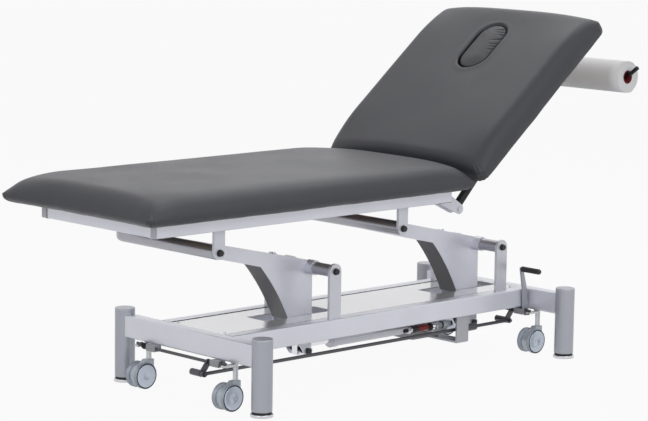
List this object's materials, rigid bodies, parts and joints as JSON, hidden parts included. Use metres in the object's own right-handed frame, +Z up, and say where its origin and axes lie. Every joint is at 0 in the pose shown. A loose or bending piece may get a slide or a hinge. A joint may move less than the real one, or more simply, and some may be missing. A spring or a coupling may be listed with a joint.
{
  "type": "hydraulic treatment table",
  "caption": "Two-section treatment couch on a hydraulic parallelogram lift, with raised backrest, face opening and plug, paper roll holder and lever-operated casters.",
  "frame": {"origin": "on the floor, midway between the four legs", "axes": "+X towards the head end with the backrest, +Y from the lever side to the pedal side, +Z up"},
  "size_m": [2.1246, 0.6978, 1.1098],
  "materials": {
    "leg_paint": "satin",
    "cap_plastic": "satin",
    "black_rubber": "matte",
    "bright_steel": "satin",
    "frame_paint": "satin",
    "cover_paint": "gloss",
    "light_paint": "satin",
    "black_bolt": "satin",
    "block_plastic": "matte",
    "cradle_paint": "satin",
    "pump_casting": "satin",
    "tank_plastic": "satin",
    "valve_red": "satin",
    "tube_paint": "satin",
    "rod_chrome": "polished",
    "plywood": "satin",
    "seat_vinyl": "satin",
    "back_vinyl": "satin",
    "plug_vinyl": "satin",
    "black_paint": "satin",
    "paper": "matte",
    "core_card": "matte",
    "shaft_steel": "satin",
    "grip_plastic": "satin",
    "stem_white": "gloss",
    "hood_plastic": "satin",
    "wheel_plastic": "satin"
  },
  "bodies": {
    "base": {"legs": "leg_paint", "leg_caps": "cap_plastic", "foot_rings": "black_rubber", "foot_discs": "bright_steel", "cross_rails": "frame_paint", "long_rails": "frame_paint", "cover_plate": "cover_paint", "cover_screws": "bright_steel", "posts": "light_paint", "post_bolts": "black_bolt", "shaft_blocks": "block_plastic", "stem_guides": "block_plastic", "pump_cradle": "cradle_paint", "pump_body": "pump_casting", "pump_reservoir": "tank_plastic", "release_valve": "valve_red", "ram_barrel": "light_paint"},
    "foot_arm": {"foot_arm_box": "frame_paint", "foot_arm_tubes": "tube_paint", "foot_lever_pins": "black_bolt"},
    "head_arm": {"head_arm_box": "frame_paint", "head_arm_tubes": "tube_paint", "head_lever_pins": "black_bolt"},
    "top": {"frame_rails": "frame_paint", "frame_tabs": "light_paint", "tab_bolts": "black_bolt", "spring_brackets": "light_paint", "hinge_plates": "light_paint", "hinge_pins": "tube_paint", "seat_board": "plywood", "seat_cushion": "seat_vinyl"},
    "tie": {"tie_bar": "light_paint"},
    "ram": {"ram_rod": "rod_chrome"},
    "pedal": {"pedal_lever": "tube_paint", "pedal_pad": "black_rubber"},
    "back": {"back_frame": "tube_paint", "back_board": "plywood", "back_cushion": "back_vinyl", "roll_holder": "black_paint"},
    "plug": {"face_plug": "plug_vinyl"},
    "near_spring": {"near_spring_body": "black_paint"},
    "near_spring_piston": {"near_spring_rod": "rod_chrome"},
    "far_spring": {"far_spring_body": "black_paint"},
    "far_spring_piston": {"far_spring_rod": "rod_chrome"},
    "roll": {"paper_roll": "paper", "roll_core": "core_card"},
    "foot_lifter": {"foot_shaft": "shaft_steel"},
    "head_lifter": {"head_shaft": "shaft_steel", "hand_lever": "leg_paint"},
    "grip": {"lever_grip": "grip_plastic"},
    "link": {"link_rod": "shaft_steel"},
    "stems": {"caster_stems": "stem_white"},
    "near_foot_fork": {"near_foot_hood": "hood_plastic"},
    "near_foot_pair": {"near_foot_wheels": "wheel_plastic"},
    "near_head_fork": {"near_head_hood": "hood_plastic"},
    "near_head_pair": {"near_head_wheels": "wheel_plastic"},
    "far_foot_fork": {"far_foot_hood": "hood_plastic"},
    "far_foot_pair": {"far_foot_wheels": "wheel_plastic"},
    "far_head_fork": {"far_head_hood": "hood_plastic"},
    "far_head_pair": {"far_head_wheels": "wheel_plastic"}
  },
  "joints": [
    {"name": "lift", "type": "hinge", "parent": "base", "child": "foot_arm", "pos_m": [-0.22, 0, 0.3555], "axis": [0, 1, 0], "range_deg": [-20, 28]},
    {"name": "head_arm_swing", "type": "hinge", "parent": "base", "child": "head_arm", "pos_m": [0.526, 0, 0.3555], "axis": [0, 1, 0], "range_deg": [-20, 28]},
    {"name": "top_level", "type": "hinge", "parent": "foot_arm", "child": "top", "pos_m": [-0.74658, 0, 0.47514], "axis": [0, 1, 0], "range_deg": [-28, 20]},
    {"name": "tie_level", "type": "hinge", "parent": "foot_arm", "child": "tie", "pos_m": [-0.22, 0, 0.1555], "axis": [0, 1, 0], "range_deg": [-28, 20]},
    {"name": "ram_stroke", "type": "slide", "parent": "base", "child": "ram", "axis": [-1, 0, 0], "range_m": [-0.09, 0.126]},
    {"name": "pedal_press", "type": "hinge", "parent": "base", "child": "pedal", "pos_m": [0.3, 0.072, 0.094], "axis": [-1, 0, 0], "range_deg": [0, 8], "stiffness_Nm_per_rad": 20, "springref_deg": -17.19},
    {"name": "back_tilt", "type": "hinge", "parent": "top", "child": "back", "pos_m": [0.211, 0, 0.566], "axis": [0, -1, 0], "range_deg": [-39, 6]},
    {"name": "plug_lift", "type": "slide", "parent": "back", "child": "plug", "axis": [-0.6293, 0, 0.7771], "range_m": [0, 0.09]},
    {"name": "near_spring_swing", "type": "hinge", "parent": "top", "child": "near_spring", "pos_m": [0.207, -0.244, 0.522], "axis": [0, -1, 0], "range_deg": [-36.5, 6]},
    {"name": "near_spring_stroke", "type": "slide", "parent": "near_spring", "child": "near_spring_piston", "axis": [0.6953, 0, 0.7187], "range_m": [-0.026, 0.005]},
    {"name": "far_spring_swing", "type": "hinge", "parent": "top", "child": "far_spring", "pos_m": [0.207, 0.244, 0.522], "axis": [0, -1, 0], "range_deg": [-36.5, 6]},
    {"name": "far_spring_stroke", "type": "slide", "parent": "far_spring", "child": "far_spring_piston", "axis": [0.6953, 0, 0.7187], "range_m": [-0.026, 0.005]},
    {"name": "roll_spin", "type": "hinge", "parent": "back", "child": "roll", "pos_m": [0.96602, 0, 0.89689], "axis": [0, 1, 0], "continuous": true},
    {"name": "caster_lever", "type": "hinge", "parent": "base", "child": "head_lifter", "pos_m": [0.63, 0, 0.132], "axis": [0, 1, 0], "range_deg": [-75, 0]},
    {"name": "foot_lifter_turn", "type": "hinge", "parent": "base", "child": "foot_lifter", "pos_m": [-0.69, 0, 0.132], "axis": [0, 1, 0], "range_deg": [-75, 0]},
    {"name": "link_level", "type": "hinge", "parent": "head_lifter", "child": "link", "pos_m": [0.604, -0.121, 0.1], "axis": [0, 1, 0], "range_deg": [0, 75]},
    {"name": "stem_drop", "type": "slide", "parent": "base", "child": "stems", "axis": [0, 0, -1], "range_m": [0, 0.0185]},
    {"name": "grip_turn", "type": "hinge", "parent": "head_lifter", "child": "grip", "pos_m": [0.605, -0.2, 0.278], "axis": [0, 1, 0], "continuous": true},
    {"name": "near_foot_swivel", "type": "hinge", "parent": "stems", "child": "near_foot_fork", "pos_m": [-0.66, -0.199, 0.08], "axis": [0, 0, 1], "continuous": true},
    {"name": "near_foot_wheel_spin", "type": "hinge", "parent": "near_foot_fork", "child": "near_foot_pair", "pos_m": [-0.69, -0.199, 0.0415], "axis": [0, 1, 0], "continuous": true},
    {"name": "near_head_swivel", "type": "hinge", "parent": "stems", "child": "near_head_fork", "pos_m": [0.66, -0.199, 0.08], "axis": [0, 0, 1], "continuous": true},
    {"name": "near_head_wheel_spin", "type": "hinge", "parent": "near_head_fork", "child": "near_head_pair", "pos_m": [0.63, -0.199, 0.0415], "axis": [0, 1, 0], "continuous": true},
    {"name": "far_foot_swivel", "type": "hinge", "parent": "stems", "child": "far_foot_fork", "pos_m": [-0.66, 0.199, 0.08], "axis": [0, 0, 1], "continuous": true},
    {"name": "far_foot_wheel_spin", "type": "hinge", "parent": "far_foot_fork", "child": "far_foot_pair", "pos_m": [-0.69, 0.199, 0.0415], "axis": [0, 1, 0], "continuous": true},
    {"name": "far_head_swivel", "type": "hinge", "parent": "stems", "child": "far_head_fork", "pos_m": [0.66, 0.199, 0.08], "axis": [0, 0, 1], "continuous": true},
    {"name": "far_head_wheel_spin", "type": "hinge", "parent": "far_head_fork", "child": "far_head_pair", "pos_m": [0.63, 0.199, 0.0415], "axis": [0, 1, 0], "continuous": true}
  ],
  "couplings": [
    {"joint": "head_arm_swing", "follows": "lift", "ratio": 1},
    {"joint": "top_level", "follows": "lift", "ratio": -1},
    {"joint": "tie_level", "follows": "lift", "ratio": -1},
    {"joint": "ram_stroke", "follows": "lift", "m_per_rad": 0.2565},
    {"joint": "near_spring_swing", "follows": "back_tilt", "ratio": 0.91},
    {"joint": "near_spring_stroke", "follows": "back_tilt", "m_per_rad": 0.0348},
    {"joint": "far_spring_swing", "follows": "back_tilt", "ratio": 0.91},
    {"joint": "far_spring_stroke", "follows": "back_tilt", "m_per_rad": 0.0348},
    {"joint": "foot_lifter_turn", "follows": "caster_lever", "ratio": 1},
    {"joint": "link_level", "follows": "caster_lever", "ratio": -1},
    {"joint": "stem_drop", "follows": "caster_lever", "m_per_rad": -0.01375}
  ]
}
